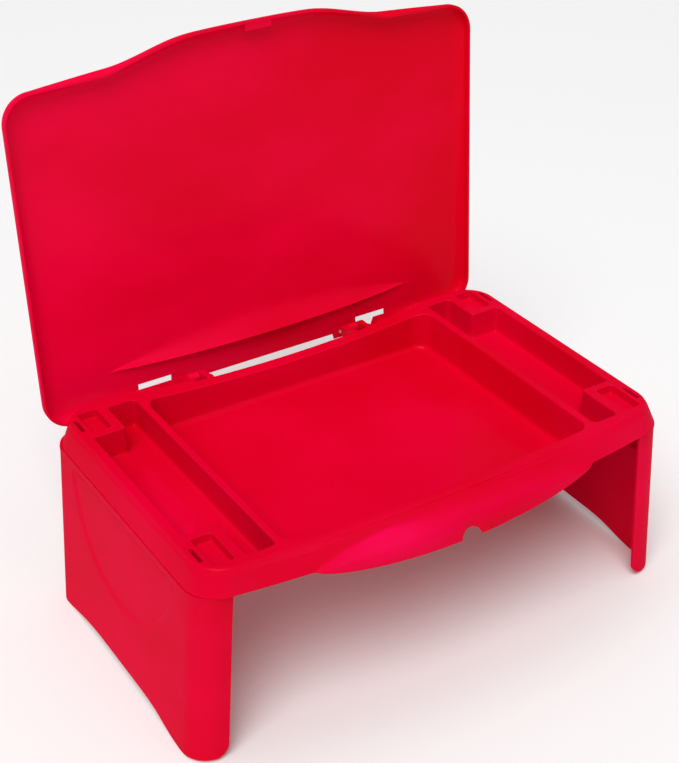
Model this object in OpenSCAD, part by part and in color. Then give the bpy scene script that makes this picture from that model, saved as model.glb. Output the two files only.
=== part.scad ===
// Lap desk with a hinged lid over a storage tray and two fold-under legs.
// The desk stands on its legs with the lid held open, front toward -Y.

/* [Desk] */
// Height of the tray rim above the floor
stand_h = 173; // [165:1:190]
// Half width of the tray at its rim
rim_hw = 209; // [207:0.5:210]
// Distance of the tray rim in front of the middle, at the corners
rim_front = 127; // [126:0.5:128]
// How far the front rim bows out in the middle
rim_bow = 8; // [4:0.5:9]
// Distance of the tray rim behind the middle
rim_rear = 126; // [124:0.5:127]
// Height of the tray skirt
skirt_h = 19.7; // [17:0.1:21]
// Half width of the tray at the foot of its skirt
skirt_hw = 217; // [214:0.5:218]
// Wall of the moulded pieces
wall = 2.5; // [2.2:0.1:2.8]
// Depth of the rounded belly below the front skirt
belly_h = 13.7; // [8:0.1:15]

/* [Tray hollows] */
// Half width of the centre well
well_hw = 140.5; // [130:0.5:141]
// Depth of the centre well
well_d = 35.3; // [30:0.1:36]
// Depth of the pen trays at the sides
pen_d = 25; // [15:0.5:27]
// Depth of the corner pockets
pocket_d = 7.5; // [4.5:0.5:8]

/* [Lid] */
// Half width of the lid
lid_hw = 215; // [214.5:0.1:216]
// Depth of the lid from its rear edge to a front corner
lid_len = 286.5; // [285.5:0.5:288]
// How far the front of the lid swells out in the middle
lid_bump = 20.5; // [16:0.5:21]
// Height of the lid's rim
lid_h = 12.5; // [11:0.5:12.5]
// Backward lean of the open lid, in degrees
lean = 3.2; // [2:0.1:5]
// Depth of the crescent recess in the lid
recess_d = 7; // [4:0.5:7]

/* [Legs] */
// Distance of the leg's outer face from the middle, at the top
leg_x = 216.8; // [216.6:0.1:219]
// Outward lean of the legs, in degrees
splay = 4; // [3:0.1:4.2]
// Half width of a leg from front to rear
leg_hy = 128; // [124:0.5:129]
// Width of the leg's front and rear flanges
leg_flange = 28; // [20:0.5:28]
// Height of the arch in the leg's lower edge
leg_arch = 8.4; // [4:0.1:10]
// Distance of the leg pivot from the middle
pivot_x = 186; // [185:0.5:187]
// Distance of the leg pivot below the rim
pivot_z = 35; // [34:0.5:36]

/* [Hinge pins] */
// Radius of the lid hinge pins
lid_pin_r = 1.75; // [1.5:0.05:1.8]
// Radius of the leg hinge pins
leg_pin_r = 2.5; // [2.2:0.05:2.6]
// Radial clearance of the pins
fit = 0.05; // [0.02:0.01:0.1]

/* [Hidden] */
$fn = 64;

// lid hinge axis, in the rim frame
hinge_y = 138;
hinge_z = -13.5;
// lid in its closed place, in the rim frame
lid_rear = 150;
lid_top = 3;
// hinge knuckles along the lid hinge
ear_in = 69;
ear_out = 93;
tongue_in = 76;
tongue_out = 86;
// leg hinges from front to rear
lug_y = 100;
lug_t = 6;

// the desk is shifted so that the middle of its footprint lies on the origin
y_front = -(132.5 + 14 + 6.5);
y_back = hinge_y + (lid_top - hinge_z)*cos(lean) + (lid_len + lid_bump - lid_rear + hinge_y)*sin(lean);
y_mid = (y_front + y_back)/2;

// ---- outlines ----

NF = 24;
NC = 7;

function arc(cx, cy, r, a0, a1, n) = [for (i = [0:n]) [cx + r*cos(a0 + (a1 - a0)*i/n), cy + r*sin(a0 + (a1 - a0)*i/n)]];

function belly(x) = max(0, 1 - pow(x/132, 2));

// outline of the tray at one level; b is how far the belly swells there
function tray_outline(hw, fy, bow, ry, rc, b) = concat(
    arc(hw - rc, ry - rc, rc, 0, 90, NC),
    arc(-hw + rc, ry - rc, rc, 90, 180, NC),
    arc(-hw + rc, -fy + rc, rc, 180, 270, NC),
    [for (i = [1:NF - 1]) let (x = (hw - rc)*(2*i/NF - 1)) [x, -fy - bow*(1 - pow(x/(hw - rc), 2)) - b*belly(x)]],
    arc(hw - rc, -fy + rc, rc, 270, 360, NC));

function level(pts, z) = [for (p = pts) [p[0], p[1], z]];

// lower edge of the skirt, with the belly hanging below it in front
function skirt_foot(pts, z, d) = [for (p = pts) [p[0], p[1], z - (p[1] < 0 ? d*belly(p[0]) : 0)]];

// closed body through a list of rings, from the lowest to the highest
module loft(rings) {
    n = len(rings[0]);
    k = len(rings);
    low = [0, 0, min([for (p = rings[0]) p[2]])];
    top = [0, 0, rings[k - 1][0][2]];
    pts = concat([for (r = rings) for (p = r) p], [low, top]);
    faces = concat(
        [for (i = [0:n - 1]) [(i + 1) % n, i, n*k]],
        [for (i = [0:n - 1]) [n*(k - 1) + i, n*(k - 1) + (i + 1) % n, n*k + 1]],
        [for (j = [0:k - 2]) for (i = [0:n - 1]) [n*j + i, n*j + (i + 1) % n, n*(j + 1) + i]],
        [for (j = [0:k - 2]) for (i = [0:n - 1]) [n*j + (i + 1) % n, n*(j + 1) + (i + 1) % n, n*(j + 1) + i]]);
    polyhedron(points = pts, faces = [for (f = faces) [f[2], f[1], f[0]]], convexity = 6);
}

// ---- tray ----

function sk(t) = rim_hw + (skirt_hw - rim_hw)*t;

module tray_skirt_outer() loft([
    skirt_foot(tray_outline(skirt_hw, rim_front + 5.5, 14, rim_rear + 3, 28, 6.5), -skirt_h, belly_h),
    level(tray_outline(sk(0.62), rim_front + 2.8, rim_bow + 2.5, rim_rear + 2, 27, 3), -15),
    level(tray_outline(sk(0.29), rim_front + 1.7, rim_bow + 1, rim_rear + 1.2, 26.5, 1.2), -9.5),
    level(tray_outline(rim_hw, rim_front, rim_bow, rim_rear, 26, 0), 0)]);

module tray_skirt_inner() loft([
    level(tray_outline(skirt_hw - wall, rim_front + 5.5 - wall, 14, rim_rear + 3 - wall, 25.5, 6.5), -60),
    skirt_foot(tray_outline(skirt_hw - wall, rim_front + 5.5 - wall, 14, rim_rear + 3 - wall, 25.5, 6.5), -skirt_h, belly_h),
    level(tray_outline(sk(0.62) - wall, rim_front + 2.8 - wall, rim_bow + 2.5, rim_rear + 2 - wall, 24.5, 3), -15),
    level(tray_outline(sk(0.29) - wall, rim_front + 1.7 - wall, rim_bow + 1, rim_rear + 1.2 - wall, 24, 1.2), -9.5),
    level(tray_outline(rim_hw - wall, rim_front - wall, rim_bow, rim_rear - wall, 23.5, 0), -wall)]);

// plan of the centre well; g grows it by the wall
module well_plan(g) {
    r = 8 + g;
    hull_w = well_hw + g;
    polygon(concat(
        arc(hull_w - r, 109 + g - r, r, 0, 90, 6),
        arc(-hull_w + r, 109 + g - r, r, 90, 180, 6),
        arc(-hull_w + r, -120 - g + r, r, 180, 270, 6),
        [for (i = [1:15]) let (x = (hull_w - r)*(i/8 - 1)) [x, -120 - g - 6*(1 - pow(x/(hull_w - r), 2))]],
        arc(hull_w - r, -120 - g + r, r, 270, 360, 6)));
}

// rectangle with round corners, from two corners
module round_rect(x0, y0, x1, y1, r) {
    translate([x0 + r, y0]) square([x1 - x0 - 2*r, y1 - y0]);
    translate([x0, y0 + r]) square([x1 - x0, y1 - y0 - 2*r]);
    for (x = [x0 + r, x1 - r]) for (y = [y0 + r, y1 - r]) translate([x, y]) circle(r, $fn = 32);
}

// right-hand pen tray: a long lane and a bay beside it
module pen_plan(g) {
    round_rect(147.3 - g, -118 - g, 171.5 + g, 114 + g, 3 + g);
    round_rect(160 - g, -73.5 - g, 199.5 + g, 78.5 + g, 3 + g);
}

// the two right-hand corner pockets
module pocket_plan(g) {
    round_rect(180.5 - g, -117 - g, 197.5 + g, -81 + g, 2 + g);
    round_rect(180.5 - g, 86 - g, 197.5 + g, 117 + g, 2 + g);
}

module both_sides() {
    children();
    mirror([1, 0, 0]) children();
}

// hinge plates under the corner posts, for the leg pins
module leg_brackets() {
    for (y = [-lug_y, lug_y]) for (s = [-1, 1])
        translate([0, y + s*(lug_t/2 + 1.1 + 1.7) - 1.7, 0]) {
            translate([pivot_x - 8, 0, -pivot_z]) cube([16, 3.4, pivot_z - 7]);
            translate([pivot_x, 3.4, -pivot_z]) rotate([90, 0, 0]) cylinder(h = 3.4, r = 8);
        }
}

// hinge ears behind the tray, for the lid pins
module lid_ears() {
    for (x = [[ear_in, tongue_in - 0.5], [tongue_out + 0.5, ear_out]]) {
        translate([x[0], hinge_y, hinge_z]) rotate([0, 90, 0]) cylinder(h = x[1] - x[0], r = 4.2);
        translate([x[0], 119.5, hinge_z - 4.2]) cube([x[1] - x[0], hinge_y - 119.5, 8.4]);
    }
}

// scoop in the rear strip that clears the crescent of the closed lid
module rear_scoop() {
    difference() {
        translate([0, 140, 0]) rotate([90, 0, 0]) linear_extrude(height = 31.5)
            polygon(concat([[-145, 5], [-145, 0]], [for (x = [-130:10:130]) [x, -8.5*(1 - pow(x/145, 2))]], [[145, 0], [145, 5]]));
        // the rim stays whole behind the scoop, outside the hinges
        for (x = [-150, 94]) translate([x, 123.8, -12]) cube([56, 20, 20]);
    }
}

module tray() {
    color([0.86, 0.02, 0.14])
    difference() {
        union() {
            difference() {
                union() {
                    difference() {
                        tray_skirt_outer();
                        tray_skirt_inner();
                    }
                }
                translate([-94, 121.5, -40]) cube([188, 30, 60]);
            }
            translate([-96, 119, -skirt_h]) cube([192, 2.5, skirt_h]);
            for (x = [-96, 94]) translate([x, 119, -skirt_h]) cube([2, 8.2, skirt_h]);
            translate([-146, 107, -13]) cube([292, 13, 13]);
            for (x = [-146, 94]) translate([x, 107, -13]) cube([52, 18, 13]);
            translate([0, 0, -well_d - 2.2]) linear_extrude(height = well_d + 2.2) well_plan(2.2);
            both_sides() {
                translate([0, 0, -pen_d - 2.2]) linear_extrude(height = pen_d + 2.2) pen_plan(2.2);
                translate([0, 0, -pocket_d - 2.2]) linear_extrude(height = pocket_d + 2.2) pocket_plan(2.2);
                leg_brackets();
                lid_ears();
            }
        }
        translate([0, 0, -well_d]) linear_extrude(height = well_d + 5) well_plan(0);
        rear_scoop();
        both_sides() {
            translate([0, 0, -pen_d]) linear_extrude(height = pen_d + 5) pen_plan(0);
            translate([0, 0, -pocket_d]) linear_extrude(height = pocket_d + 5) pocket_plan(0);
            for (y = [-108, 91]) translate([200.8, y, -8]) cube([3.4, 18, 12]);
            translate([pivot_x, 130, -pivot_z]) rotate([90, 0, 0]) cylinder(h = 260, r = leg_pin_r + fit);
            translate([ear_in - 5, hinge_y, hinge_z]) rotate([0, 90, 0]) cylinder(h = 40, r = lid_pin_r + fit);
        }
        // finger notch under the belly
        translate([0, -140, -skirt_h - belly_h - 1.5]) rotate([90, 0, 0]) cylinder(h = 20, r = 8);
    }
}

// ---- lid, drawn closed and then swung open ----

// half height of the bump along the lid's front edge
function bump(x) = let (a = abs(x)) a >= 136 ? 0 : a <= 40 ? 1 : 0.5 + 0.5*cos(180*(a - 40)/96);

// outline of the lid, g is drawn inward
module lid_plan(g) {
    hw = lid_hw - g;
    r = 25 - g;
    fy = lid_rear - lid_len + g;
    polygon(concat(
        arc(hw - r, lid_rear - g - r, r, 0, 90, 10),
        arc(-hw + r, lid_rear - g - r, r, 90, 180, 10),
        arc(-hw + r, fy + r, r, 180, 270, 10),
        [for (i = [1:37]) let (x = (hw - r)*(i/19 - 1)) [x, fy - 3.2*(1 - pow(x/(hw - r), 2)) - (lid_bump - 3.2)*bump(x)]],
        arc(hw - r, fy + r, r, 270, 360, 10)));
}

// crescent: a ramp that deepens toward a straight crease near the hinge
function arch_u(x) = 31 + 23*(1 - pow(x/150, 2));
function crease_u(x) = 28 + 2*pow(x/150, 2);
module crescent(z_top, z_ref) {
    nx = 20;
    nu = 4;
    gx = [for (i = [0:nx]) 150*(2*i/nx - 1)];
    up = [for (x = gx) for (j = [0:nu]) [x*0.999, lid_rear - (crease_u(x) + (arch_u(x) - crease_u(x))*j/nu), z_top]];
    dn = [for (x = gx) for (j = [0:nu]) let (t = 1 - j/nu) [x*0.999, lid_rear - (crease_u(x) + (arch_u(x) - crease_u(x))*j/nu),
        z_ref - recess_d*(1 - pow(x/150, 2))*t - 0.02]];
    m = nu + 1;
    q = m*(nx + 1);
    function id(i, j) = i*m + j;
    faces = concat(
        [for (i = [0:nx - 1]) for (j = [0:nu - 1]) [id(i, j), id(i + 1, j + 1), id(i + 1, j)]],
        [for (i = [0:nx - 1]) for (j = [0:nu - 1]) [id(i, j), id(i, j + 1), id(i + 1, j + 1)]],
        [for (i = [0:nx - 1]) for (j = [0:nu - 1]) [q + id(i, j), q + id(i + 1, j), q + id(i + 1, j + 1)]],
        [for (i = [0:nx - 1]) for (j = [0:nu - 1]) [q + id(i, j), q + id(i + 1, j + 1), q + id(i, j + 1)]],
        [for (i = [0:nx - 1]) [id(i, 0), id(i + 1, 0), q + id(i, 0)]],
        [for (i = [0:nx - 1]) [id(i + 1, 0), q + id(i + 1, 0), q + id(i, 0)]],
        [for (i = [0:nx - 1]) [id(i, nu), q + id(i, nu), id(i + 1, nu)]],
        [for (i = [0:nx - 1]) [id(i + 1, nu), q + id(i, nu), q + id(i + 1, nu)]],
        [for (j = [0:nu - 1]) [id(0, j), q + id(0, j), id(0, j + 1)]],
        [for (j = [0:nu - 1]) [id(0, j + 1), q + id(0, j), q + id(0, j + 1)]],
        [for (j = [0:nu - 1]) [id(nx, j), id(nx, j + 1), q + id(nx, j)]],
        [for (j = [0:nu - 1]) [id(nx, j + 1), q + id(nx, j + 1), q + id(nx, j)]]);
    polyhedron(points = concat(up, dn), faces = [for (f = faces) [f[2], f[1], f[0]]], convexity = 6);
}

module lid_closed() {
    difference() {
        union() {
            difference() {
                translate([0, 0, lid_top - lid_h]) linear_extrude(height = lid_h) lid_plan(0);
                translate([0, 0, lid_top - lid_h - 1]) linear_extrude(height = lid_h + 1 - wall) lid_plan(wall);
                // the rear wall is open between the outer ends of the hinges
                translate([-126.5, lid_rear - 3.5, lid_top - lid_h - 1]) cube([253, 5, lid_h + 1 - wall]);
                for (x = [-125, 93.5]) translate([x, lid_rear - 11, -2]) cube([31.5, 14, 8]);
                translate([-66, lid_rear - 3, -2]) cube([132, 6, 8]);
            }
            crescent(lid_top - wall + 1, lid_top - wall);
            // straps and tongues of the two hinges
            both_sides() {
                translate([tongue_in, lid_rear - 3, hinge_z - 2]) cube([tongue_out - tongue_in, 3, lid_top - hinge_z + 2 - 0.2]);
                translate([tongue_in, hinge_y, hinge_z - 3.4]) cube([tongue_out - tongue_in, lid_rear - hinge_y, 5.4]);
                translate([tongue_in, hinge_y, hinge_z]) rotate([0, 90, 0]) cylinder(h = tongue_out - tongue_in, r = 4.2);
            }
            // latch tab behind the front wall
            translate([-12, lid_rear - lid_len - lid_bump + wall - 0.5, lid_top - lid_h + 2]) cube([24, 3.5, 5]);
        }
        crescent(lid_top + 2, lid_top);
        both_sides() translate([tongue_in - 2, hinge_y, hinge_z]) rotate([0, 90, 0]) cylinder(h = 20, r = lid_pin_r + fit);
    }
}

module lid() {
    color([0.86, 0.02, 0.14])
    translate([0, hinge_y, hinge_z]) rotate([-90 - lean, 0, 0]) translate([0, -hinge_y, -hinge_z]) lid_closed();
}

// ---- legs ----

// plan of a channel, open toward +X
module channel_plan(w, h, r) {
    translate([r, -h/2]) square([w - r, h]);
    translate([0, -h/2 + r]) square([r + 0.01, h - 2*r]);
    for (y = [-1, 1]) intersection() {
        translate([r, y*(h/2 - r)]) circle(r, $fn = 96);
        translate([-1, -h/2 - 1]) square([r + 1.01, h + 2]);
    }
}

module leg() {
    foot = skirt_h + 0.6 - stand_h;
    difference() {
        union() {
            intersection() {
                translate([-leg_x, 0, -skirt_h - 0.6]) rotate([0, splay, 0]) difference() {
                    translate([0, 0, -stand_h]) linear_extrude(height = stand_h + 10) difference() {
                        channel_plan(leg_flange, 2*leg_hy, 22);
                        translate([2.6, 0]) channel_plan(leg_flange + 5, 2*leg_hy - 5.2, 19.4);
                    }
                    // shallow half-round recess in the outer face
                    translate([-1, 0, 0]) rotate([0, 90, 0]) cylinder(h = 2, r = 90, $fn = 128);
                }
                translate([-260, -150, -stand_h]) cube([120, 300, stand_h - skirt_h - 0.6]);
            }
            for (y = [-lug_y, lug_y]) translate([0, y + lug_t/2, 0]) rotate([90, 0, 0]) {
                linear_extrude(height = lug_t) polygon([[-leg_x + 1, -23], [-pivot_x, -pivot_z + 7], [-pivot_x, -pivot_z - 7], [-leg_x - 1.2, -62]]);
                translate([-pivot_x, -pivot_z, 0]) cylinder(h = lug_t, r = 7);
            }
        }
        translate([-pivot_x, 120, -pivot_z]) rotate([90, 0, 0]) cylinder(h = 240, r = leg_pin_r + fit);
        arch_r = (95*95 + leg_arch*leg_arch)/(2*leg_arch);
        translate([-260, 0, -stand_h + leg_arch - arch_r]) rotate([0, 90, 0]) cylinder(h = 70, r = arch_r, $fn = 256);
    }
}

module left_leg() color([0.86, 0.02, 0.14]) leg();
module right_leg() color([0.86, 0.02, 0.14]) mirror([1, 0, 0]) leg();

// ---- pins ----

module lid_pin() {
    color([0.75, 0.75, 0.78]) translate([ear_in - 0.8, hinge_y, hinge_z]) rotate([0, 90, 0]) {
        cylinder(h = ear_out - ear_in + 0.8, r = lid_pin_r);
        translate([0, 0, ear_out - ear_in + 0.8]) cylinder(h = 1.2, r = 3);
    }
}
module lid_hinge_pin_left() mirror([1, 0, 0]) lid_pin();
module lid_hinge_pin_right() lid_pin();

module leg_pin(y) {
    color([0.75, 0.75, 0.78]) translate([pivot_x, y + 8.6, -pivot_z]) rotate([90, 0, 0]) cylinder(h = 16.1, r = leg_pin_r);
    color([0.75, 0.75, 0.78]) translate([pivot_x, y - 7.5, -pivot_z]) rotate([90, 0, 0]) cylinder(h = 1.5, r = 4.2);
}
module leg_pin_front_left() mirror([1, 0, 0]) leg_pin(-lug_y);
module leg_pin_rear_left() mirror([1, 0, 0]) leg_pin(lug_y);
module leg_pin_front_right() leg_pin(-lug_y);
module leg_pin_rear_right() leg_pin(lug_y);

module stood() translate([0, -y_mid, stand_h]) children();

stood() tray();
stood() lid();
stood() left_leg();
stood() right_leg();
stood() lid_hinge_pin_left();
stood() lid_hinge_pin_right();
stood() leg_pin_front_left();
stood() leg_pin_rear_left();
stood() leg_pin_front_right();
stood() leg_pin_rear_right();
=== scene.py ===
import bpy, bmesh, math
import numpy as np
from mathutils import Vector, Matrix
from mathutils.geometry import delaunay_2d_cdt


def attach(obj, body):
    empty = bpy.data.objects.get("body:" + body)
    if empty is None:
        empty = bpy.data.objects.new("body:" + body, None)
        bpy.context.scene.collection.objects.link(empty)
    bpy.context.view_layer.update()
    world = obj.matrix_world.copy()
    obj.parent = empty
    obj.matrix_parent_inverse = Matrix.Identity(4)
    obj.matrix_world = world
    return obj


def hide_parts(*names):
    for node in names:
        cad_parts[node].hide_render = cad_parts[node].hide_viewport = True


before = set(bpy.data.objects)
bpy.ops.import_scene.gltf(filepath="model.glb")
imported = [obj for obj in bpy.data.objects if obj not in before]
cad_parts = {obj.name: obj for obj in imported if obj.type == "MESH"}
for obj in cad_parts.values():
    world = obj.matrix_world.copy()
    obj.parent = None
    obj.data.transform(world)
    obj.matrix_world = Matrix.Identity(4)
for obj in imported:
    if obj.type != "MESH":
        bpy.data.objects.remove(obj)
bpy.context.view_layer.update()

# ------------------------------------------------------------------ frame
# Shapes are drawn in millimetres with z = 0 on the tray rim, then placed.
Y_MID = 8.97077
STAND = 173.0
HINGE_Y, HINGE_Z = 138.0, -13.5
LEAN = 3.2
SPLAY = 4.0
LEG_X = 216.8


def place(p):
    p = np.asarray(p, float)
    return np.stack([p[..., 0], p[..., 1] - Y_MID, p[..., 2] + STAND], -1) / 1000.0


def sstep(t):
    t = np.clip(t, 0, 1)
    return t * t * (3 - 2 * t)


def make_mesh(name, verts, faces, merge=2e-6):
    me = bpy.data.meshes.new(name)
    me.from_pydata([tuple(v) for v in verts], [], faces)
    bm = bmesh.new()
    bm.from_mesh(me)
    bmesh.ops.remove_doubles(bm, verts=bm.verts, dist=merge)
    bmesh.ops.dissolve_degenerate(bm, edges=bm.edges, dist=1e-7)
    bm.to_mesh(me)
    bm.free()
    for p in me.polygons:
        p.use_smooth = True
    me.update()
    ob = bpy.data.objects.new(name, me)
    bpy.context.scene.collection.objects.link(ob)
    return ob


def finish_sheet(ob, thickness, offset, bevel=0.0006, weight=True):
    s = ob.modifiers.new("wall", "SOLIDIFY")
    s.thickness = thickness
    s.offset = offset
    s.use_even_offset = True
    s.use_quality_normals = True
    if bevel:
        b = ob.modifiers.new("edge", "BEVEL")
        b.width = bevel
        b.segments = 3
        b.limit_method = "ANGLE"
        b.angle_limit = math.radians(55)
        b.harden_normals = False
    if weight:
        w = ob.modifiers.new("normals", "WEIGHTED_NORMAL")
        w.keep_sharp = False
        w.weight = 60
    apply_all(ob)
    return ob


def apply_all(ob):
    dg = bpy.context.evaluated_depsgraph_get()
    me = bpy.data.meshes.new_from_object(ob.evaluated_get(dg))
    ob.modifiers.clear()
    old = ob.data
    ob.data = me
    bpy.data.meshes.remove(old)


def ring_faces(n, rows, base=0, closed=True):
    f = []
    m = n if closed else n - 1
    for r in range(rows - 1):
        a, b = base + r * n, base + (r + 1) * n
        for i in range(m):
            j = (i + 1) % n
            f.append((a + i, a + j, b + j, b + i))
    return f


def rounded_poly(verts, radii, inset, divs, nseg=8):
    """Counter-clockwise outline with round corners, drawn in by inset; the same number of points at every inset."""
    v = np.asarray(verts, float)
    n = len(v)
    d = np.roll(v, -1, 0) - v
    d /= np.linalg.norm(d, axis=1)[:, None]
    nrm = np.stack([-d[:, 1], d[:, 0]], 1)
    out = []
    corners = []
    for i in range(n):
        a, b = (i - 1) % n, i
        p1, d1 = v[a] + nrm[a] * inset, d[a]
        p2, d2 = v[b] + nrm[b] * inset, d[b]
        cr = d1[0] * d2[1] - d1[1] * d2[0]
        t = ((p2 - p1)[0] * d2[1] - (p2 - p1)[1] * d2[0]) / cr
        q = p1 + d1 * t
        convex = cr > 0
        r = max(0.02, radii[i] - inset) if convex else max(0.02, radii[i] + inset)
        phi = math.atan2(abs(cr), float(d1 @ d2))
        tl = r * math.tan(phi / 2)
        s, e = q - d1 * tl, q + d2 * tl
        side = 1 if convex else -1
        c = s + np.array([-d1[1], d1[0]]) * r * side
        a0 = math.atan2(*(s - c)[::-1])
        pts = [c + r * np.array([math.cos(a0 + side * phi * k / nseg), math.sin(a0 + side * phi * k / nseg)]) for k in range(nseg + 1)]
        corners.append(pts)
    for i in range(n):
        out += corners[i]
        a, b = corners[i][-1], corners[(i + 1) % n][0]
        m = divs[i]
        out += [a + (b - a) * k / m for k in range(1, m)]
    return np.array(out)


def inside(poly, q):
    x, y = q[:, 0][:, None], q[:, 1][:, None]
    a, b = poly, np.roll(poly, -1, 0)
    c = ((a[:, 1] > y) != (b[:, 1] > y)) & (x < (b[:, 0] - a[:, 0]) * (y - a[:, 1]) / (b[:, 1] - a[:, 1] + 1e-12) + a[:, 0])
    return c.sum(1) % 2 == 1


# ------------------------------------------------------------------ tray
RIM_HW, RIM_F, RIM_R = 209.0, 127.0, 126.0


def belly(x):
    return np.clip(1 - np.abs(x / 126.0) ** 2.1, 0, None) ** 0.8


def tray_ring(hw, fy, bow, ry, rc, inset=0.0):
    o = rounded_poly([(hw, ry), (-hw, ry), (-hw, -fy), (hw, -fy)], [rc] * 4, inset, [150, 60, 160, 60], 18)
    xw = hw - rc
    front = o[:, 1] < 0
    o[:, 1] -= np.where(front, bow * np.clip(1 - (o[:, 0] / xw) ** 2, 0, None), 0)
    return o


def tray_warp(p):
    """Step in the rear edge for the hinges, and the scoop that clears the lid's crescent."""
    x, y, z = p[:, 0].copy(), p[:, 1].copy(), p[:, 2].copy()
    s = 1 - sstep((np.abs(x) - 90.5) / 4.0)
    w = sstep((y - 112.5) / 8.0)
    y2 = y - 4.6 * s * w * np.where(z < -0.001, 1 + 0.25 * sstep((-z) / 18.0), 1)
    dip = 8.7 * np.clip(1 - (x / 151.0) ** 2, 0, None)
    wy = sstep((y - 104.5) / 5.0)
    wy = wy * (1 - sstep((np.abs(x) - 90.5) / 4.0) * sstep((y - 123.05) / 0.75))
    wz = np.clip((z + 17.0) / 13.0, 0, 1)
    z2 = z - dip * wy * sstep(wz)
    return np.stack([x, y2, z2], 1)


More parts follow.
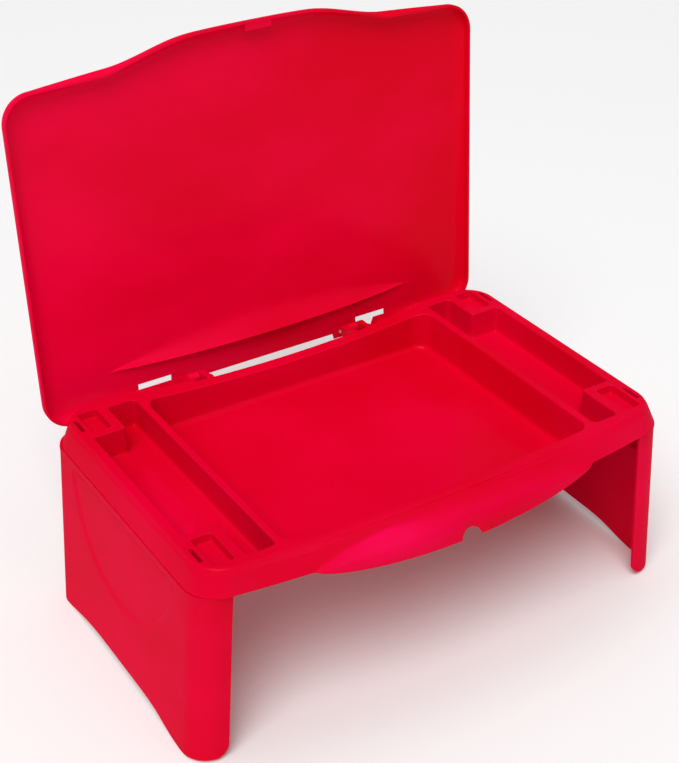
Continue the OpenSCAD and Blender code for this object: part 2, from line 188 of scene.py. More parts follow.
def tray_shell():
    V, F = [], []
    base = 0
    rows = []
    re = 2.2
    # rim edge
    for a in np.linspace(0, 90, 6):
        a = math.radians(a)
        o = tray_ring(RIM_HW, RIM_F, 8.0, RIM_R, 26.0, re - re * math.sin(a))
        rows.append(np.column_stack([o, np.full(len(o), -re + re * math.cos(a))]))
    top_ring = rows[0].copy()
    # skirt, split at the crease of the belly
    T0 = re / 19.7

    def skirt_row(t, k):
        # t runs from the rim to the foot of the skirt; k is 0 above the belly's crease and runs to 1 at its lower edge
        hw = RIM_HW + 7.6 * t
        fy = RIM_F + 5.5 * t
        bow = 8 + 6 * t
        ry = RIM_R + 2.6 * t
        o = tray_ring(hw, fy, bow, ry, 26 + 2 * t)
        return o, -19.7 * t

    NA, NB = 9, 16
    flat = []
    for i in range(1, NA + NB + 1):
        o_list = None
        x_ref, _ = skirt_row(0.5, 0)
        x = x_ref[:, 0]
        front = x_ref[:, 1] < -60
        b = np.where(front, belly(x), 0)
        # crease height along the front, as a share of the skirt
        tc = 0.985 - 0.80 * b ** 0.85
        if i <= NA:
            t = T0 + (tc - T0) * i / NA
            k = np.zeros_like(t)
        else:
            t = tc + (1 - tc) * (i - NA) / NB
            k = np.full_like(t, (i - NA) / NB)
        pts = np.zeros((len(x), 3))
        # evaluate the ring at several t, each point with its own t
        ts = np.linspace(T0, 1, 25)
        stack = np.array([np.column_stack([skirt_row(tt, 0)[0], np.full(len(x), -19.7 * tt)]) for tt in ts])
        f = (t - T0) / (1 - T0) * 24
        lo = np.clip(np.floor(f).astype(int), 0, 23)
        fr = (f - lo)[:, None]
        idx = np.arange(len(x))
        pts = stack[lo, idx] * (1 - fr) + stack[lo + 1, idx] * fr
        # below the crease the belly swings out and hangs below the skirt
        kk = k * (b > 0)
        hang = b * 13.6 * kk
        if i > NA:
            cr = rows[6 + NA - 1]
            foot_y = stack[24][:, 1] - 6.3 * b ** 0.42
            g = 1 - (1 - kk) ** 2.0
            pts[:, 1] = np.where(b > 0, cr[:, 1] + (foot_y - cr[:, 1]) * g, pts[:, 1])
        pts[:, 2] -= hang
        # finger notch in the middle of the lower edge
        if i == NA + NB:
            pts_last = pts
        rows.append(pts)
    n = len(rows[0])
    R = np.array(rows)
    # half-round finger notch
    foot = R[-1]
    xn = foot[:, 0] - 3.0
    notch = np.where((np.abs(xn) < 8.8) & (foot[:, 1] < 0), np.sqrt(np.clip(8.8 ** 2 - xn ** 2, 0, None)) * 0.80, 0)
    for r in range(NA + 5, len(R)):
        w = ((r - (NA + 5)) / (len(R) - 1 - (NA + 5))) ** 1.2
        d = (R[-1][:, 2] - R[NA + 5][:, 2])
        slope_y = np.where(np.abs(d) > 1e-6, (R[-1][:, 1] - R[NA + 5][:, 1]) / d, 0)
        R[r][:, 2] += notch * w
        R[r][:, 1] += slope_y * notch * w
    V.append(R.reshape(-1, 3))
    F += ring_faces(n, len(R))
    F = [tuple(reversed(f)) for f in F]
    base = n * len(R)

    holes = []

    def cavity(verts, radii, depth, divs, rt=1.4, rb=4.0, draft=0.02, warp=None, floor=True, nseg=8, slope=None):
        nonlocal base
        rings = []
        for a in np.linspace(0, 90, 6):
            a = math.radians(a)
            rings.append((-rt + rt * math.sin(a), -rt + rt * math.cos(a)))
        hw = depth - rb - rt
        for q in np.linspace(0, 1, 6)[1:]:
            rings.append((draft * hw * q, -rt - hw * q))
        for b in np.linspace(0, 90, 7)[1:]:
            b = math.radians(b)
            rings.append((draft * hw + rb * (1 - math.cos(b)), -(depth - rb) - rb * math.sin(b)))
        pts = []
        for ins, z in rings:
            o = rounded_poly(verts, radii, ins, divs, nseg)
            if warp is not None:
                o = warp(o)
            pts.append(np.column_stack([o, np.full(len(o), z)]))
        m = len(pts[0])
        V.append(np.concatenate(pts))
        fs = ring_faces(m, len(pts), base)
        F.extend(fs)
        if floor:
            F.append(tuple(base + (len(pts) - 1) * m + i for i in range(m)))
        holes.append(pts[0])
        base += m * len(pts)

    def well_warp(o):
        o = o.copy()
        o[:, 1] -= np.where(o[:, 1] < -60, 6 * np.clip(1 - (o[:, 0] / 140.0) ** 2, 0, None), 0)
        return o

    cavity([(140.5, 109), (-140.5, 109), (-140.5, -120), (140.5, -120)], [15, 15, 10, 10], 35.3, [110, 60, 110, 60], rt=1.6, rb=5, draft=0.05, warp=well_warp)
    for s in (1, -1):
        pen = [(171.5, -118), (171.5, -73.5), (199.5, -73.5), (199.5, 78.5), (171.5, 78.5), (171.5, 114), (147.3, 114), (147.3, -118)]
        rad = [4, 3, 3, 3, 3, 4, 4, 4]
        dv = [12, 8, 50, 8, 12, 8, 70, 8]
        if s < 0:
            pen = [(-a, b) for a, b in reversed(pen)]
            dv = dv[::-1][1:] + dv[::-1][:1]
            rad = rad[::-1]
        cavity(pen, rad, 25, dv, rt=1.2, rb=3.5, draft=0.035)
        for y0, y1 in ((-117, -81), (86, 117)):
            a, b = (180.5, 197.5) if s > 0 else (-197.5, -180.5)
            cavity([(b, y1), (a, y1), (a, y0), (b, y0)], [2.6] * 4, 7.5, [6, 12, 6, 12], rt=0.7, rb=1.2, draft=0.05, nseg=6)
        for y0 in (-108, 91):
            a, b = (200.9, 204.1) if s > 0 else (-204.1, -200.9)
            cavity([(b, y0 + 18), (a, y0 + 18), (a, y0), (b, y0)], [1.0] * 4, 8.5, [3, 8, 3, 8], rt=0.4, rb=0.5, draft=0.0, nseg=4)

    # flat deck between the rim and the hollows
    loops = [top_ring] + holes
    pts2, edges = [], []
    for L in loops:
        b0 = len(pts2)
        pts2 += [tuple(p[:2]) for p in L]
        edges += [(b0 + i, b0 + (i + 1) % len(L)) for i in range(len(L))]
    for x in np.arange(-150, 151, 2.5):
        pts2 += [(x, y) for y in (111.2, 113.6, 116.6, 119.4, 121.2, 122.5, 123.05, 123.4)]
    ov, oe, of, *_ = delaunay_2d_cdt([Vector(p) for p in pts2], edges, [], 0, 1e-4)
    P = np.array([(v.x, v.y) for v in ov])

    tri = [t for t in of]
    cen = np.array([P[list(t)].mean(0) for t in tri])
    keep = inside(top_ring[:, :2], cen)
    for h in holes:
        keep &= ~inside(h[:, :2], cen)
    V.append(np.column_stack([P, np.zeros(len(P))]))
    for t, k in zip(tri, keep):
        if k:
            a, b, c = [P[i] for i in t]
            area = (b[0] - a[0]) * (c[1] - a[1]) - (b[1] - a[1]) * (c[0] - a[0])
            tt = tuple(base + i for i in t)
            F.append(tt if area > 0 else tuple(reversed(tt)))
    allv = np.concatenate(V)
    allv = tray_warp(allv)
    ob = make_mesh("tray_shell", place(allv), F, merge=2e-5)
    bm = bmesh.new()
    bm.from_mesh(ob.data)
    bmesh.ops.recalc_face_normals(bm, faces=bm.faces)
    up = sum(f.normal.z * f.calc_area() for f in bm.faces if f.calc_center_median().z > 0.17)
    if up < 0:
        bmesh.ops.reverse_faces(bm, faces=bm.faces)
    bm.to_mesh(ob.data)
    bm.free()
    # painted highlight: below the crease of the front wall's swelling the red is painted brighter and bluer, strongest
    # on the left half where the light catches it
    co = np.zeros(len(ob.data.vertices) * 3)
    ob.data.vertices.foreach_get("co", co)
    co = co.reshape(-1, 3) * 1000
    x, y, z = co[:, 0], co[:, 1] + Y_MID, co[:, 2] - STAND
    b = belly(x)
    zc = -19.7 * (0.985 - 0.80 * b ** 0.85)
    below = sstep((zc - z + 0.5) / (1.6 + 9.0 * sstep((x + 75) / 60.0))) * (y < -118) * sstep(b / 0.06)
    highlight_falloff = 1 - 0.6 * sstep((zc - z - 9.0) / 18.0)
    highlight_falloff = highlight_falloff * (0.24 + 0.50 * np.exp(-((x + 66 - 1.2 * (zc - z - 8)) / 36.0) ** 2))
    att = ob.data.attributes.new("painted_belly_highlight", "FLOAT", "POINT")
    att.data.foreach_set("value", np.clip(below * highlight_falloff, 0, 1).astype(np.float32))
    return finish_sheet(ob, 0.0022, -1.0)


# ------------------------------------------------------------------ lid
def lid_bump_f(x):
    a = np.abs(x)
    return np.where(a >= 126, 0, np.where(a <= 52, 1, 0.5 + 0.5 * np.cos(np.pi * (a - 52) / 74)))


def lid_edge_f(x):
    # the free edge of the rim breaks more sharply than the top does
    a = np.clip(np.abs(x), 0, 200)
    xs = np.array([0.0, 30, 48, 62, 76, 90, 103, 115, 122, 126.5, 131, 200])
    ys = np.array([1.0, 1.0, 0.975, 0.90, 0.76, 0.575, 0.385, 0.20, 0.085, 0.02, 0.0, 0.0])
    return np.interp(a, xs, ys)


def lid_ring(inset, z=0.0):
    hw, y1, y0, r = 215.0, 150.0, -136.2, 25.0
    edge = 1 - sstep((z + 9.4) / 8.4)
    o = rounded_poly([(hw, y1), (-hw, y1), (-hw, y0), (hw, y0)], [r] * 4, inset, [190, 110, 190, 110], 20)
    x = o[:, 0]
    fr = o[:, 1] < 0
    u = np.clip(1 - (np.clip(x, -190, 190) / 190.0) ** 2, 0, None)
    top = 10.6 * u + 10.0 * lid_bump_f(x)
    low = 3.0 * u + 17.6 * lid_edge_f(x)
    o[:, 1] -= np.where(fr, top * (1 - edge) + low * edge, 0) * sstep((-o[:, 1] - 40) / 60.0)
    return o


def crescent(x, y):
    u = 150.0 - y
    q = np.clip(1 - (x / 152.0) ** 2, 0, None)
    ua = 31 + 23.5 * q
    uc = 30.3 + 2.2 * (x / 150.0) ** 2
    t = (ua - u) / np.maximum(ua - uc, 1.0)
    t = np.clip(t, 0, None)
    ramp = t ** 1.75
    step = 1 - sstep((uc - u) / 2.2)
    d = 6.8 * q ** 0.8 * np.clip(ramp, 0, 1.0) * step
    return np.where((np.abs(x) < 152) & (u < 60), d, 0)


def swing(p, deg):
    a = math.radians(deg)
    p = np.array(p, float)
    dy, dz = p[:, 1] - HINGE_Y, p[:, 2] - HINGE_Z
    p[:, 1] = HINGE_Y + dy * math.cos(a) - dz * math.sin(a)
    p[:, 2] = HINGE_Z + dy * math.sin(a) + dz * math.cos(a)
    return p


def lid_shell():
    rows = []
    for z in (-9.4, -9.0, -8.4, -7.7, -6.9, -6.0):
        o = lid_ring(0.15 * (z + 9.4) / 3.4, z)
        rows.append(np.column_stack([o, np.full(len(o), z)]))
    nw = len(rows)
    D = 14.0
    for dl in [0.10, 0.35, 0.75, 1.3, 2.0, 2.85, 4.0, 5.3, 6.8, 8.6, 10.65, 12.8, 15.2, 17.9, 20.8, 23.5]:
        z = -6.0 + 8.95 * max(0.0, 1 - (max(0.0, D - dl) / D) ** 2.3) ** 0.5
        o = lid_ring(0.15 + dl, z)
        q = np.column_stack([o, np.full(len(o), z)])
        # the rear edge is a flat plate between the outer ends of the hinges
        w = sstep((133 - np.abs(o[:, 0])) / 6.0) * (o[:, 1] > 120)
        q[:, 2] += (2.95 - 0.5 * max(0.0, 1 - dl / 1.4) ** 2 - q[:, 2]) * w
        rows.append(q)
    n = len(rows[0])
    R = np.array(rows)
    P = R.reshape(-1, 3)
    F = []
    # open rear edge between the hinges, with two notches beyond them
    for k, f in enumerate(ring_faces(n, len(R))):
        c = P[list(f)].mean(0)
        if k // n < nw and c[1] > 130 and abs(c[0]) < 126:
            continue
        if c[1] > 150 - 12.9 and 94 < abs(c[0]) < 126:
            continue
        if c[1] > 150 - 3.0 and abs(c[0]) < 70:
            continue
        F.append(f)
    # the plate, with mesh lines that follow the crescent
    rim = R[-1][:, :2]
    free = []
    for x in np.arange(-151.5, 152, 3.0):
        uc = 30.3 + 2.2 * (x / 150.0) ** 2
        for du in (-3.6, -3.0, -2.4, -1.8, -1.2, -0.6, 0.0, 0.5, 1.2, 2.2, 3.6, 5.4, 7.6, 10.2, 13.2, 16.6, 20.4, 24.4, 28.4, 33):
            free.append((x, 150 - uc - du))
    for x in np.arange(-184, 185, 8.0):
        for y in np.arange(-150, 84, 8.0):
            free.append((x, y))
        if abs(x) > 154:
            for y in np.arange(84, 126, 6.0):
                free.append((x, y))
    free = np.array(free)
    free = free[inside(lid_ring(25.2, 3.0), free)]
    pts2 = [tuple(q) for q in rim] + [tuple(q) for q in free]
    m = len(rim)
    ov, oe, of, *_ = delaunay_2d_cdt([Vector(q) for q in pts2], [(i, (i + 1) % m) for i in range(m)], [], 0, 1e-5)
    Q = np.array([(v.x, v.y) for v in ov])
    cen = np.array([Q[list(t)].mean(0) for t in of])
    ok = inside(rim, cen)
    base = len(P)
    P = np.concatenate([P, np.column_stack([Q, np.full(len(Q), 2.95)])])
    zr = R[-1][:, 2]
    for i in range(len(Q)):
        d = np.abs(rim - Q[i]).sum(1)
        j = int(d.argmin())
        if d[j] < 1e-3:
            P[base + i] = R[-1][j]
    F += [tuple(base + i for i in t) for t, g in zip(of, ok) if g]
    P[:, 2] -= crescent(P[:, 0], P[:, 1])
    keep = F
    P = swing(P, -(90 + LEAN))
    ob = make_mesh("lid_shell", place(P), keep)
    bm = bmesh.new()
    bm.from_mesh(ob.data)
    bmesh.ops.recalc_face_normals(bm, faces=bm.faces)
    back = sum(f.normal.y * f.calc_area() for f in bm.faces)
    if back < 0:
        bmesh.ops.reverse_faces(bm, faces=bm.faces)
    bm.to_mesh(ob.data)
    bm.free()
    return finish_sheet(ob, 0.0020, -1.0, bevel=0.0007)


# ------------------------------------------------------------------ legs
def leg_shell(side):
    """side -1 is the left leg. The panel is a channel that wraps round the tray's corners."""
    prof = []   # (x inward from the outer face, y, arc length)
    W, H, r = 28.0, 128.0, 22.0
    pts = []
    for k in range(13):
        pts.append((W - (W - r) * k / 12.0, -H))
    for k in range(1, 25):
        a = math.radians(90 * k / 24)
        pts.append((r - r * math.sin(a), -H + r - r * math.cos(a)))
    for k in range(1, 150):
        pts.append((0.0, -H + r + (2 * H - 2 * r) * k / 150.0))
    for k in range(0, 25):
        a = math.radians(90 * k / 24)
        pts.append((r - r * math.cos(a), H - r + r * math.sin(a)))
    for k in range(1, 13):
        pts.append((r + (W - r) * k / 12.0, H))
    C = np.array(pts)
    n = len(C)
    s = np.concatenate([[0], np.cumsum(np.linalg.norm(np.diff(C, axis=0), axis=1))])
    L = s[-1]
    e = np.minimum(s, L - s)          # distance from the nearest free edge
    y = C[:, 1]
    ya = [-128, -116, -108, -101, -94, -86, -78, -69, -60, -51, -40, 0, 38, 52, 64, 76, 88, 98, 107, 128]
    za = [2.2, 1.3, 0.5, 0.1, 0.5, 1.5, 3.1, 5.2, 7.1, 8.2, 8.8, 9.0, 8.8, 8.3, 7.2, 5.4, 3.2, 1.3, 0.1, 0.1]
    arch = np.interp(y, ya, za)
    z_low = -172.7 + arch
    rr = 11.0                          # round lower corners of the flanges
    z_low = z_low + np.where(e < rr, rr - np.sqrt(np.clip(rr ** 2 - (rr - e) ** 2, 0, None)), 0)
    z_top = np.full(n, -20.3)
    NT = 110
    rows = []
    for j in range(NT + 1):
        t = j / NT
        t = 0.5 * (1 - math.cos(math.pi * t)) * 0.35 + t * 0.65
        z = z_top + (z_low - z_top) * t
        dz = -20.3 - z
        x = -LEG_X + C[:, 0] - dz * math.tan(math.radians(SPLAY))
        yy = C[:, 1].copy()
        # half-round recess in the outer face
        rad = np.sqrt(y ** 2 + (z + 20.3) ** 2)
        rec = 1.6 * (1 - sstep((rad - 83.5) / 6.5)) * sstep(-(z + 25.0) / 7.0)
        rec = np.where(C[:, 0] < 0.5, rec, 0)
        # a soft bead along the top edge
        bead = 0.5 * np.exp(-((z + 22.5) / 2.4) ** 2)
        nx = np.where(C[:, 0] < r, -(r - np.minimum(C[:, 0], r)) / r, 0)
        nx = np.clip(nx, -1, 0)
        ny = np.sign(C[:, 1]) * np.sqrt(np.clip(1 - nx ** 2, 0, 1))
        ny = np.where(np.abs(C[:, 1]) < H - r, 0, ny)
        x = x + rec + nx * bead
        yy = yy + ny * bead * 0.6
        rows.append(np.column_stack([x, yy, z]))
    R = np.array(rows)
    P = R.reshape(-1, 3)
    if side > 0:
        P = P * np.array([-1, 1, 1])
    F = ring_faces(n, NT + 1, closed=False)
    name = "left_leg_shell" if side < 0 else "right_leg_shell"
    ob = make_mesh(name, place(P), F)
    bm = bmesh.new()
    bm.from_mesh(ob.data)
    bmesh.ops.recalc_face_normals(bm, faces=bm.faces)
    out = sum(f.normal.x * f.calc_area() for f in bm.faces)
    if out * side < 0:
        bmesh.ops.reverse_faces(bm, faces=bm.faces)
    bm.to_mesh(ob.data)
    bm.free()
    return finish_sheet(ob, 0.0026, -1.0, bevel=0.0008)


# ------------------------------------------------------------------ small parts
def plate(name, outline, axis, a0, a1, bevel=0.5, mirror=False):
    """Extrudes a closed outline along X ('x': outline in y, z) or Y ('y': outline in x, z)."""
    o = np.array(outline, float)
    n = len(o)
    V = []
    for a in (a0, a1):
        for p in o:
            V.append((a, p[0], p[1]) if axis == "x" else (p[0], a, p[1]))
    V = np.array(V)
    if mirror:
        V = V * np.array([-1, 1, 1])
    F = [tuple(range(n)), tuple(reversed(range(n, 2 * n)))]
    F += [(i, n + i, n + (i + 1) % n, (i + 1) % n) for i in range(n)]
    return V, F, bevel


def swing_part(part, deg):
    V, F, b = part
    return swing(V, deg), F, b


def small(name, parts, bevel):
    V, F = [], []
    k = 0
    for p in parts:
        V.append(p[0])
        F += [tuple(k + i for i in f) for f in p[1]]
        k += len(p[0])
    me = bpy.data.meshes.new(name)
    me.from_pydata([tuple(v) for v in place(np.concatenate(V))], [], F)
    bm = bmesh.new()
    bm.from_mesh(me)
    bmesh.ops.recalc_face_normals(bm, faces=bm.faces)
    bm.to_mesh(me)
    bm.free()
    for p in me.polygons:
        p.use_smooth = True
    ob = bpy.data.objects.new(name, me)
    bpy.context.scene.collection.objects.link(ob)
    b = ob.modifiers.new("edge", "BEVEL")
    b.width = bevel / 1000
    b.segments = 3
    b.limit_method = "ANGLE"
    b.angle_limit = math.radians(40)
    w = ob.modifiers.new("normals", "WEIGHTED_NORMAL")
    w.keep_sharp = False
    apply_all(ob)
    return ob


def arc2(cx, cy, r, a0, a1, n):
    return [(cx + r * math.cos(math.radians(a0 + (a1 - a0) * i / n)), cy + r * math.sin(math.radians(a0 + (a1 - a0) * i / n))) for i in range(n + 1)]


def leg_brackets():
    parts = []
    for m in (False, True):
        for y in (-100, 100):
            for s in (-1, 1):
                y0 = y + s * 5.8 - 1.7
                o = arc2(186, -35, 8, 180, 360, 20) + [(194, -9.2), (178, -9.2)]
                parts.append(plate("", o, "y", y0, y0 + 3.4, mirror=m))
                # web that stiffens each hinge plate
                yw = y0 + (3.4 if s > 0 else -6.0)
                parts.append(plate("", [(185.0, -24), (187.0, -24), (187.0, -9.2), (185.0, -9.2)], "y", yw, yw + 2.6, mirror=m))
    return small("tray_leg_brackets", parts, 0.5)


def leg_lugs(side):
    parts = []
    for y in (-100, 100):
        o = [(-215.4, -23.5), (-190.0, -28.2)] + arc2(-186, -35, 6.9, 78, -90, 16) + [(-192.0, -43.0), (-217.4, -62)]
        V, F, b = plate("", o, "y", y - 3, y + 3)
        if side > 0:
            V = V * np.array([-1, 1, 1])
        parts.append((V, F, b))
    return small("left_leg_lugs" if side < 0 else "right_leg_lugs", parts, 0.5)


def lid_ears():
    parts = []
    for m in (False, True):
        for x0, x1 in ((69, 75.5), (86.5, 93)):
            o = [(120.0, HINGE_Z - 4.1)] + arc2(HINGE_Y, HINGE_Z, 4.15, -90, 90, 18) + [(131.5, HINGE_Z + 4.3), (128.5, -8.6), (126.0, -7.2), (121.6, -7.0), (120.0, -7.6)]
            parts.append(plate("", o, "x", x0, x1, mirror=m))
    return small("tray_lid_ears", parts, 0.5)


def lid_tongues():
    parts = []
    for m in (False, True):
        o = arc2(HINGE_Y, HINGE_Z, 4.15, 90, 270, 18) + [(145.0, HINGE_Z - 3.6), (149.2, HINGE_Z - 1.0), (149.6, 0.4), (147.0, 0.6), (146.4, HINGE_Z + 5.2), (143.5, HINGE_Z + 2.6)]
        parts.append(swing_part(plate("", o, "x", 76, 86, mirror=m), -(90 + LEAN)))
        # lip of the lid's plate over each hinge
        o = [(146.2, 0.5), (151.6, 0.5), (152.6, 1.2), (152.6, 2.2), (151.8, 2.9), (146.2, 2.9)]
        parts.append(swing_part(plate("", o, "x", 70.2, 93.3, mirror=m), -(90 + LEAN)))
    return small("lid_tongues", parts, 0.5)


def latch_tab():
    y = -156.8 + 2.0
    o = [(y - 0.4, -9.0), (y + 5.6, -9.0), (y + 6.6, -8.2), (y + 6.0, -6.6), (y + 2.4, -5.4), (y - 0.4, -3.6)]
    return small("lid_latch_tab", [swing_part(plate("", o, "x", -6, 18), -(90 + LEAN))], 0.5)


# ------------------------------------------------------------------ materials
def red_plastic(name, tone=1.0, seed=0.0, rough=0.36, across=0.0):
    m = bpy.data.materials.new(name)
    m.use_nodes = True
    nt = m.node_tree
    N, L = nt.nodes, nt.links
    bsdf = N["Principled BSDF"]
    geo = N.new("ShaderNodeNewGeometry")
    tc = N.new("ShaderNodeTexCoord")
    mp = N.new("ShaderNodeMapping")
    mp.inputs["Location"].default_value = (seed, seed * 0.7, seed * 1.3)
    L.new(tc.outputs["Object"], mp.inputs["Vector"])

    # slow drift of the colour across the moulding
    drift = N.new("ShaderNodeTexNoise")
    drift.inputs["Scale"].default_value = 5.5
    drift.inputs["Detail"].default_value = 3.0
    ramp = N.new("ShaderNodeValToRGB")
    ramp.color_ramp.elements[0].position = 0.32
    ramp.color_ramp.elements[0].color = (0.68 * tone, 0.0003, 0.015 * tone, 1)
    ramp.color_ramp.elements[1].position = 0.70
    ramp.color_ramp.elements[1].color = (0.80 * tone, 0.0006, 0.040 * tone, 1)
    # painted light: the colour is lighter towards -x (left) and darker towards +x (right), as if lit from the left
    sep = N.new("ShaderNodeSeparateXYZ")
    L.new(tc.outputs["Object"], sep.inputs["Vector"])
    side = N.new("ShaderNodeMath"); side.operation = "MULTIPLY_ADD"
    side.inputs[1].default_value = -across
    L.new(sep.outputs["X"], side.inputs[0])
    L.new(drift.outputs["Fac"], side.inputs[2])
    L.new(side.outputs[0], ramp.inputs["Fac"])

    # edges a little paler and pinker where the pointiness is high: partly scuffs, partly a painted highlight along the
    # edges
    edge = N.new("ShaderNodeValToRGB")
    edge.color_ramp.elements[0].position = 0.530
    edge.color_ramp.elements[0].color = (0, 0, 0, 1)
    edge.color_ramp.elements[1].position = 0.620
    edge.color_ramp.elements[1].color = (1, 1, 1, 1)
    L.new(geo.outputs["Pointiness"], edge.inputs["Fac"])
    wear_and_highlight = N.new("ShaderNodeTexNoise")
    wear_and_highlight.inputs["Scale"].default_value = 60.0
    wear_and_highlight.inputs["Detail"].default_value = 6.0
    L.new(mp.outputs["Vector"], wear_and_highlight.inputs["Vector"])
    wmul = N.new("ShaderNodeMath"); wmul.operation = "MULTIPLY"
    L.new(edge.outputs["Color"], wmul.inputs[0])
    L.new(wear_and_highlight.outputs["Fac"], wmul.inputs[1])
    wk = N.new("ShaderNodeMath"); wk.operation = "MULTIPLY"
    wk.inputs[1].default_value = 0.42
    L.new(wmul.outputs[0], wk.inputs[0])
    # pale pink of the scuffed edges, which also serves as a painted edge highlight
    mix = N.new("ShaderNodeMix"); mix.data_type = "RGBA"
    mix.inputs["B"].default_value = (0.92, 0.002, 0.085, 1)
    L.new(wk.outputs[0], mix.inputs["Factor"])
    L.new(ramp.outputs["Color"], mix.inputs["A"])
    # painted highlight: a brighter, bluer red mixed in below the crease of the tray's front swelling
    belly_highlight_attr = N.new("ShaderNodeAttribute")
    belly_highlight_attr.attribute_name = "painted_belly_highlight"
    fa = N.new("ShaderNodeMath"); fa.operation = "MULTIPLY"
    fa.inputs[1].default_value = 0.8
    L.new(belly_highlight_attr.outputs["Fac"], fa.inputs[0])
    belly_highlight_mix = N.new("ShaderNodeMix"); belly_highlight_mix.data_type = "RGBA"
    belly_highlight_mix.inputs["B"].default_value = (0.90, 0.002, 0.095, 1)
    L.new(fa.outputs[0], belly_highlight_mix.inputs["Factor"])
    L.new(mix.outputs["Result"], belly_highlight_mix.inputs["A"])
    L.new(belly_highlight_mix.outputs["Result"], bsdf.inputs["Base Color"])

    # satin finish: fine grain, a few faint rub marks, slow flow waves of the moulding
    rn = N.new("ShaderNodeTexNoise")
    rn.inputs["Scale"].default_value = 14.0
    rn.inputs["Detail"].default_value = 5.0
    L.new(mp.outputs["Vector"], rn.inputs["Vector"])
    rr = N.new("ShaderNodeMapRange")
    rr.inputs["From Min"].default_value = 0.3
    rr.inputs["From Max"].default_value = 0.7
    rr.inputs["To Min"].default_value = rough - 0.05
    rr.inputs["To Max"].default_value = rough + 0.07
    L.new(rn.outputs["Fac"], rr.inputs["Value"])
    L.new(rr.outputs["Result"], bsdf.inputs["Roughness"])

    grain = N.new("ShaderNodeTexNoise")
    grain.inputs["Scale"].default_value = 900.0
    grain.inputs["Detail"].default_value = 2.0
    L.new(mp.outputs["Vector"], grain.inputs["Vector"])
    b1 = N.new("ShaderNodeBump")
    b1.inputs["Strength"].default_value = 0.06
    b1.inputs["Distance"].default_value = 0.0003
    L.new(grain.outputs["Fac"], b1.inputs["Height"])
    st = N.new("ShaderNodeMapping")
    st.inputs["Scale"].default_value = (1.0, 1.0, 2.2)
    st.inputs["Rotation"].default_value = (0.0, 0.5, 0.0)
    L.new(mp.outputs["Vector"], st.inputs["Vector"])
    L.new(st.outputs["Vector"], drift.inputs["Vector"])
    flow = N.new("ShaderNodeTexNoise")
    flow.inputs["Scale"].default_value = 7.0
    flow.inputs["Detail"].default_value = 1.5
    flow.inputs["Distortion"].default_value = 0.8
    L.new(st.outputs["Vector"], flow.inputs["Vector"])
    b2 = N.new("ShaderNodeBump")
    b2.inputs["Strength"].default_value = 0.35
    b2.inputs["Distance"].default_value = 0.0016
    L.new(flow.outputs["Fac"], b2.inputs["Height"])
    L.new(b1.outputs["Normal"], b2.inputs["Normal"])
    L.new(b2.outputs["Normal"], bsdf.inputs["Normal"])
    bsdf.inputs["IOR"].default_value = 1.46
    bsdf.inputs["Specular IOR Level"].default_value = 0.0
    bsdf.inputs["Coat Weight"].default_value = 0.07
    bsdf.inputs["Coat Roughness"].default_value = 0.2
    bsdf.inputs["Specular Tint"].default_value = (1.0, 0.18, 0.45, 1)
    bsdf.inputs["Sheen Weight"].default_value = 0.05
    bsdf.inputs["Sheen Roughness"].default_value = 0.35
    bsdf.inputs["Sheen Tint"].default_value = (1.0, 0.02, 0.30, 1)
    return m


def drawn_steel(name):
    m = bpy.data.materials.new(name)
    m.use_nodes = True
    nt = m.node_tree
    N, L = nt.nodes, nt.links
    bsdf = N["Principled BSDF"]
    tc = N.new("ShaderNodeTexCoord")
    mp = N.new("ShaderNodeMapping")
    mp.inputs["Scale"].default_value = (40, 40, 400)
    L.new(tc.outputs["Object"], mp.inputs["Vector"])
    no = N.new("ShaderNodeTexNoise")
    no.inputs["Scale"].default_value = 12.0
    no.inputs["Detail"].default_value = 4.0
    L.new(mp.outputs["Vector"], no.inputs["Vector"])
    cr = N.new("ShaderNodeValToRGB")
    cr.color_ramp.elements[0].color = (0.42, 0.42, 0.44, 1)
    cr.color_ramp.elements[1].color = (0.66, 0.66, 0.68, 1)
    L.new(no.outputs["Fac"], cr.inputs["Fac"])
    L.new(cr.outputs["Color"], bsdf.inputs["Base Color"])
    mr = N.new("ShaderNodeMapRange")
    mr.inputs["To Min"].default_value = 0.28
    mr.inputs["To Max"].default_value = 0.48
    L.new(no.outputs["Fac"], mr.inputs["Value"])
    L.new(mr.outputs["Result"], bsdf.inputs["Roughness"])
    bsdf.inputs["Metallic"].default_value = 1.0
    bp = N.new("ShaderNodeBump")
    bp.inputs["Strength"].default_value = 0.1
    bp.inputs["Distance"].default_value = 0.0002
    L.new(no.outputs["Fac"], bp.inputs["Height"])
    L.new(bp.outputs["Normal"], bsdf.inputs["Normal"])
    return m


def put(ob, mat, body, slot_name, *replaced):
    ob.data.materials.clear()
    ob.data.materials.append(mat)
    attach(ob, body)
    if replaced:
        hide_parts(*replaced)


# one red plastic in three brightnesses: painted light and shade, the lid lighter than the legs and the tray darkest
m_tray = red_plastic("tray_red", 0.92, 0.0)
# the lid's colour is painted lighter on its left side and darker on its right: painted light from the left
m_lid = red_plastic("lid_red", 1.03, 3.1, across=0.9)
m_leg = red_plastic("leg_red", 0.95, 7.7)
m_pin = drawn_steel("pin_steel_drawn")

put(tray_shell(), m_tray, "tray", "tray_plastic", "tray")
put(leg_brackets(), m_tray, "tray", "tray_plastic")
put(lid_ears(), m_tray, "tray", "tray_plastic")
put(lid_shell(), m_lid, "lid", "lid_plastic", "lid")
put(lid_tongues(), m_lid, "lid", "lid_plastic")
put(latch_tab(), m_lid, "lid", "lid_plastic")
for s, nm in ((-1, "left_leg"), (1, "right_leg")):
    put(leg_shell(s), m_leg, nm, "leg_plastic", nm)
    put(leg_lugs(s), m_leg, nm, "leg_plastic")
for nm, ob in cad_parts.items():
    if "pin" in nm:
        for i in range(len(ob.material_slots)):
            ob.material_slots[i].material = m_pin

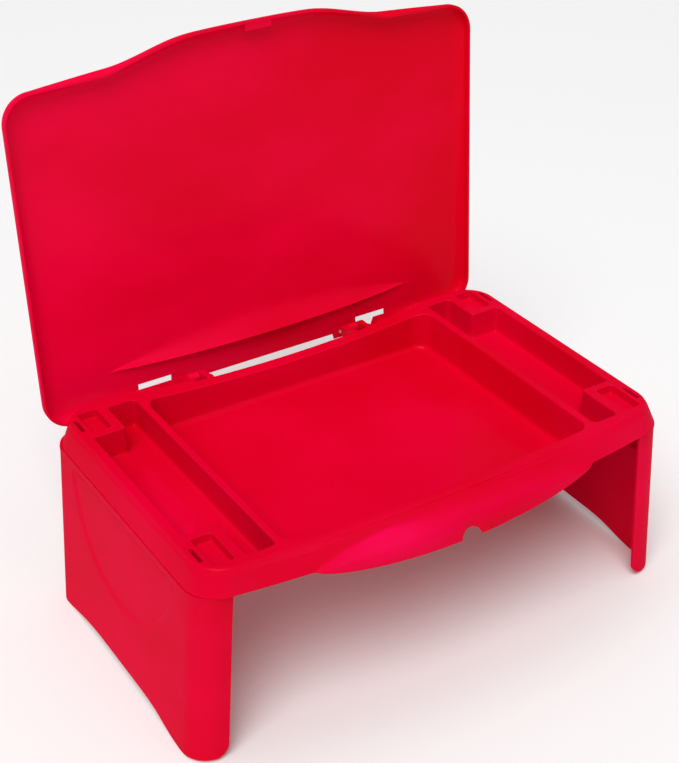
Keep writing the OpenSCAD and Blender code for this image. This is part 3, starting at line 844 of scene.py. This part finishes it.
# ------------------------------------------------------------------ stage
floor_me = bpy.data.meshes.new("floor")
S = 14.0
floor_me.from_pydata([(-S, -S, 0), (S, -S, 0), (S, S, 0), (-S, S, 0)], [], [(0, 1, 2, 3)])
floor = bpy.data.objects.new("floor", floor_me)
bpy.context.scene.collection.objects.link(floor)
floor.location.z = -0.0004
fm = bpy.data.materials.new("floor_pale")
fm.use_nodes = True
fb = fm.node_tree.nodes["Principled BSDF"]
fb.inputs["Base Color"].default_value = (0.90, 0.90, 0.90, 1)
fb.inputs["Roughness"].default_value = 0.9
fb.inputs["Specular IOR Level"].default_value = 0.1
floor_me.materials.append(fm)

world = bpy.data.worlds.new("studio")
bpy.context.scene.world = world
world.use_nodes = True
bg = world.node_tree.nodes["Background"]
bg.inputs["Color"].default_value = (1.0, 1.0, 1.0, 1)
bg.inputs["Strength"].default_value = 0.40


def aim(o, loc, target):
    o.location = loc
    o.rotation_euler = (Vector(target) - Vector(loc)).to_track_quat("-Z", "Y").to_euler()
    bpy.context.scene.collection.objects.link(o)
    return o


def area(name, loc, target, size, power, size_y=None):
    l = bpy.data.lights.new(name, "AREA")
    l.energy = power
    l.shape = "RECTANGLE"
    l.size = size
    l.size_y = size_y or size
    return aim(bpy.data.objects.new(name, l), loc, target)


sun = bpy.data.lights.new("key", "SUN")
sun.energy = 2.1
sun.angle = math.radians(36)
aim(bpy.data.objects.new("key", sun), (-0.62, -0.62, 1.25), (0, 0, 0))
area("fill", (0.3, -1.9, 1.0), (0, 0, 0.25), 1.0, 2.2)
area("top", (-0.3, 0.2, 1.9), (0, 0, 0.15), 0.9, 5)

# ------------------------------------------------------------------ camera
AZ, EL, ROLL = math.radians(-32.12), math.radians(31.32), math.radians(-0.31)
back = Vector((math.sin(AZ) * math.cos(EL), -math.cos(AZ) * math.cos(EL), math.sin(EL)))
right = Vector((math.cos(AZ), math.sin(AZ), 0))
up = back.cross(right)
c, s = math.cos(ROLL), math.sin(ROLL)
right, up = right * c + up * s, up * c - right * s
cam = bpy.data.cameras.new("camera")
cam.sensor_width = 36
cam.lens = 1547.4 * 36 / 763
cam.clip_start = 0.05
cam.clip_end = 60
co = bpy.data.objects.new("camera", cam)
bpy.context.scene.collection.objects.link(co)
M = Matrix((right, up, back)).transposed().to_4x4()
M.translation = Vector((-578.963, -891.515 - Y_MID, 673.391 + STAND)) / 1000
co.matrix_world = M
bpy.context.scene.camera = co
bpy.context.scene.view_settings.view_transform = "Standard"
bpy.context.scene.view_settings.look = "None"
